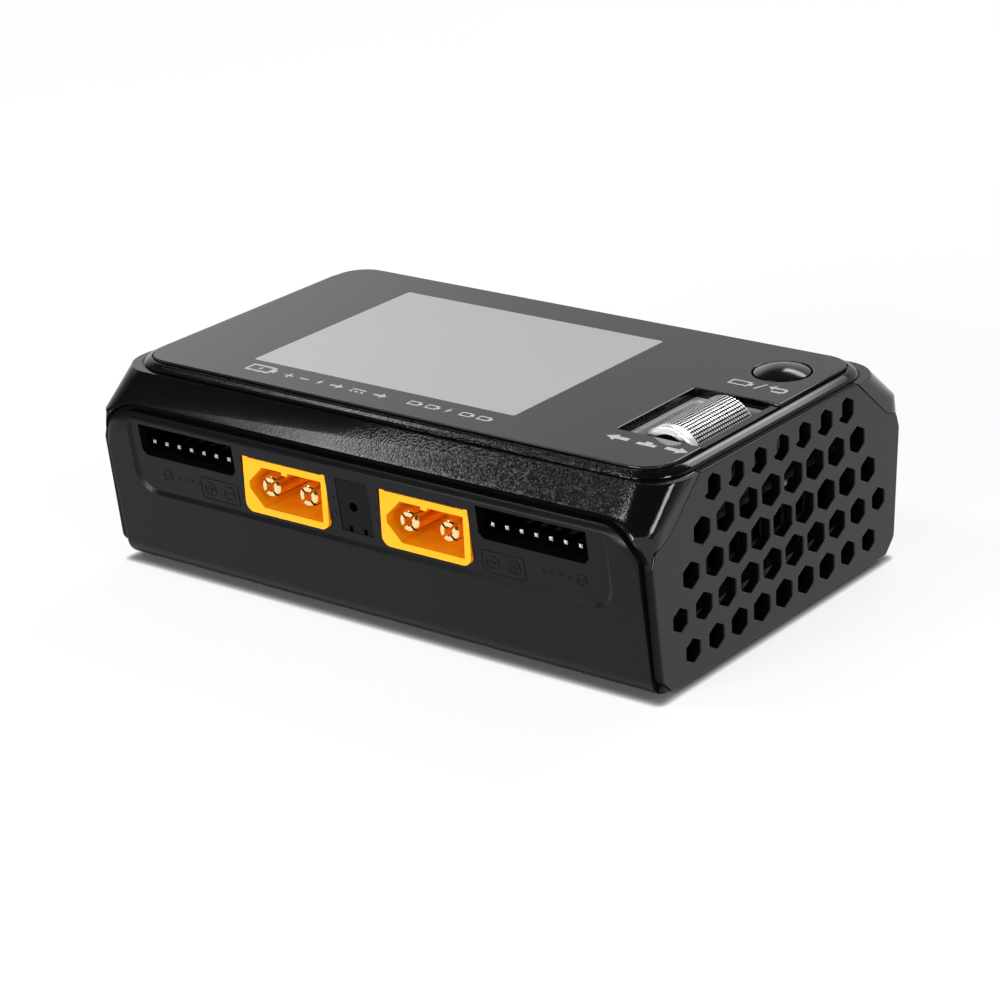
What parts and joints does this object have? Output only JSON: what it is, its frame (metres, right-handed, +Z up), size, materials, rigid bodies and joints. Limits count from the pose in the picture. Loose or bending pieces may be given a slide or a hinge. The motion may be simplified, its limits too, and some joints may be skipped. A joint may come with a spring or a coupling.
{
  "type": "balance battery charger",
  "caption": "Flat box charger with a smoked top window over a screen, a push-in scroll roller, a round key, honeycomb side vents and sockets front and rear.",
  "frame": {"origin": "centre of the footprint, on the surface that the feet stand on", "axes": "+X to the right along the long front, +Y to the rear, +Z up; the sockets for the batteries face -Y"},
  "size_m": [0.1012, 0.0658, 0.0334],
  "materials": {
    "case_satin": "satin black moulding",
    "grille_satin": "satin black moulding",
    "cover_gloss": "polished black moulding",
    "lens": "smoked acrylic",
    "screen_glass": "display glass",
    "pan_steel": "pressed sheet",
    "grey_plastic": "dark grey moulding",
    "roller_metal": "bright diamond knurl",
    "steel": "bright",
    "switch_plastic": "moulded",
    "switch_plunger": "moulded",
    "button_gloss": "polished",
    "socket_yellow": "moulded nylon",
    "gold": "gold plated",
    "socket_black": "moulded nylon",
    "tin": "tin plated",
    "shell_steel": "folded sheet",
    "board_black": "black solder mask",
    "heatsink_aluminium": "extruded",
    "chip_black": "epoxy",
    "ferrite": "sintered",
    "can_aluminium": "drawn can",
    "ribbon": "polyimide film",
    "fan_plastic": "moulded",
    "bronze": "sintered bronze",
    "copper": "enamelled winding",
    "wire": "insulated wire",
    "plug_white": "moulded nylon",
    "screw_black": "black oxide",
    "rubber": "soft foot"
  },
  "bodies": {
    "case": {"lower_shell": "case_satin", "upper_housing": "case_satin", "side_grille_right": "grille_satin", "side_grille_left": "grille_satin", "top_cover": "cover_gloss", "lens_window": "lens", "lcd_glass": "screen_glass", "lcd_frame": "pan_steel", "roller_well": "grey_plastic", "roller_guide": "grey_plastic", "roller_switch": "switch_plastic", "exit_switch": "switch_plastic", "output_socket_left": "socket_yellow", "output_socket_right": "socket_yellow", "output_pins_left": "gold", "output_pins_right": "gold", "balance_socket_left": "socket_black", "balance_socket_right": "socket_black", "balance_pins_left": "tin", "balance_pins_right": "tin", "signal_port": "socket_black", "input_socket": "socket_yellow", "input_pins": "gold", "usb_socket": "shell_steel", "usb_tongue": "socket_black", "main_board": "board_black", "ui_board": "board_black", "heatsink": "heatsink_aluminium", "transistors": "chip_black", "inductors": "ferrite", "capacitors": "can_aluminium", "control_chip": "chip_black", "shunts": "chip_black", "buzzer": "socket_black", "display_ribbon": "ribbon", "fan_frame": "fan_plastic", "fan_bearing": "bronze", "fan_stator": "copper", "fan_screws": "steel", "fan_lead": "wire", "fan_plug": "plug_white", "case_screws": "screw_black", "board_screws": "steel", "ui_screws": "steel", "rubber_feet": "rubber"},
    "roller_cradle": {"roller_carrier": "grey_plastic", "roller_axle": "steel", "roller_encoder": "grey_plastic", "roller_plunger": "switch_plunger"},
    "roller": {"roller_wheel": "roller_metal"},
    "exit_key": {"exit_button": "button_gloss", "exit_plunger": "switch_plunger"},
    "fan_impeller": {"fan_rotor": "fan_plastic", "fan_shaft": "steel"}
  },
  "joints": [
    {"name": "roller_press", "type": "slide", "parent": "case", "child": "roller_cradle", "axis": [0, 0, -1], "range_m": [0, 0.0005], "stiffness_N_per_m": 1200, "springref_m": -0.0004},
    {"name": "roller_spin", "type": "hinge", "parent": "roller_cradle", "child": "roller", "pos_m": [0.0412, -0.00645, 0.0286], "axis": [0, 1, 0], "continuous": true},
    {"name": "exit_press", "type": "slide", "parent": "case", "child": "exit_key", "axis": [0, 0, -1], "range_m": [0, 0.0006], "stiffness_N_per_m": 1200, "springref_m": -0.0004},
    {"name": "fan_spin", "type": "hinge", "parent": "case", "child": "fan_impeller", "pos_m": [-0.0423, 0, 0.0156], "axis": [1, 0, 0], "continuous": true}
  ]
}
